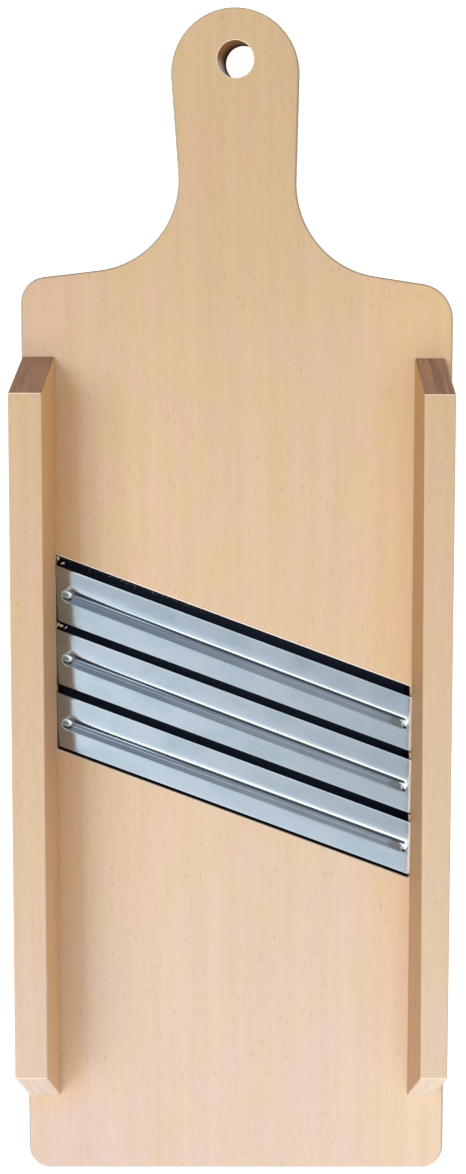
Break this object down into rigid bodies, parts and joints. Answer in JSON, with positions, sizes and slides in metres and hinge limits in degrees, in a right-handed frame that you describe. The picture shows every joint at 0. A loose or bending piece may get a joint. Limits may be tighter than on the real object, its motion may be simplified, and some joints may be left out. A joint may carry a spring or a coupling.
{
  "type": "cabbage shredder",
  "caption": "Flat beech board with a round-ended handle, two guide rails and slanting steel blades set over shred slots, for slicing cabbage by hand.",
  "frame": {"origin": "middle of the footprint, on the flat back face of the board", "axes": "+Y from the foot to the handle end, +X to the right as seen from the front, +Z from the back face to the rails and blades"},
  "size_m": [0.17, 0.4626, 0.0313],
  "materials": {
    "beech_board": "sanded pale beech, unvarnished, long fine grain with short dark flecks",
    "beech_rail": "planed pale beech, unvarnished, darker end grain on the sawn ends",
    "blade_steel": "bright rolled strip steel with a pressed groove and a ground edge",
    "fastener_steel": "zinc plated screws and brads"
  },
  "bodies": {
    "root": {"board": "beech_board", "left_rail": "beech_rail", "right_rail": "beech_rail", "blade_1": "blade_steel", "blade_2": "blade_steel", "blade_3": "blade_steel", "blade_1_left_brad": "fastener_steel", "blade_1_right_brad": "fastener_steel", "blade_2_left_brad": "fastener_steel", "blade_2_right_brad": "fastener_steel", "blade_3_left_brad": "fastener_steel", "blade_3_right_brad": "fastener_steel", "left_rail_foot_screw": "fastener_steel", "left_rail_middle_screw": "fastener_steel", "left_rail_head_screw": "fastener_steel", "right_rail_foot_screw": "fastener_steel", "right_rail_middle_screw": "fastener_steel", "right_rail_head_screw": "fastener_steel"}
  },
  "joints": []
}
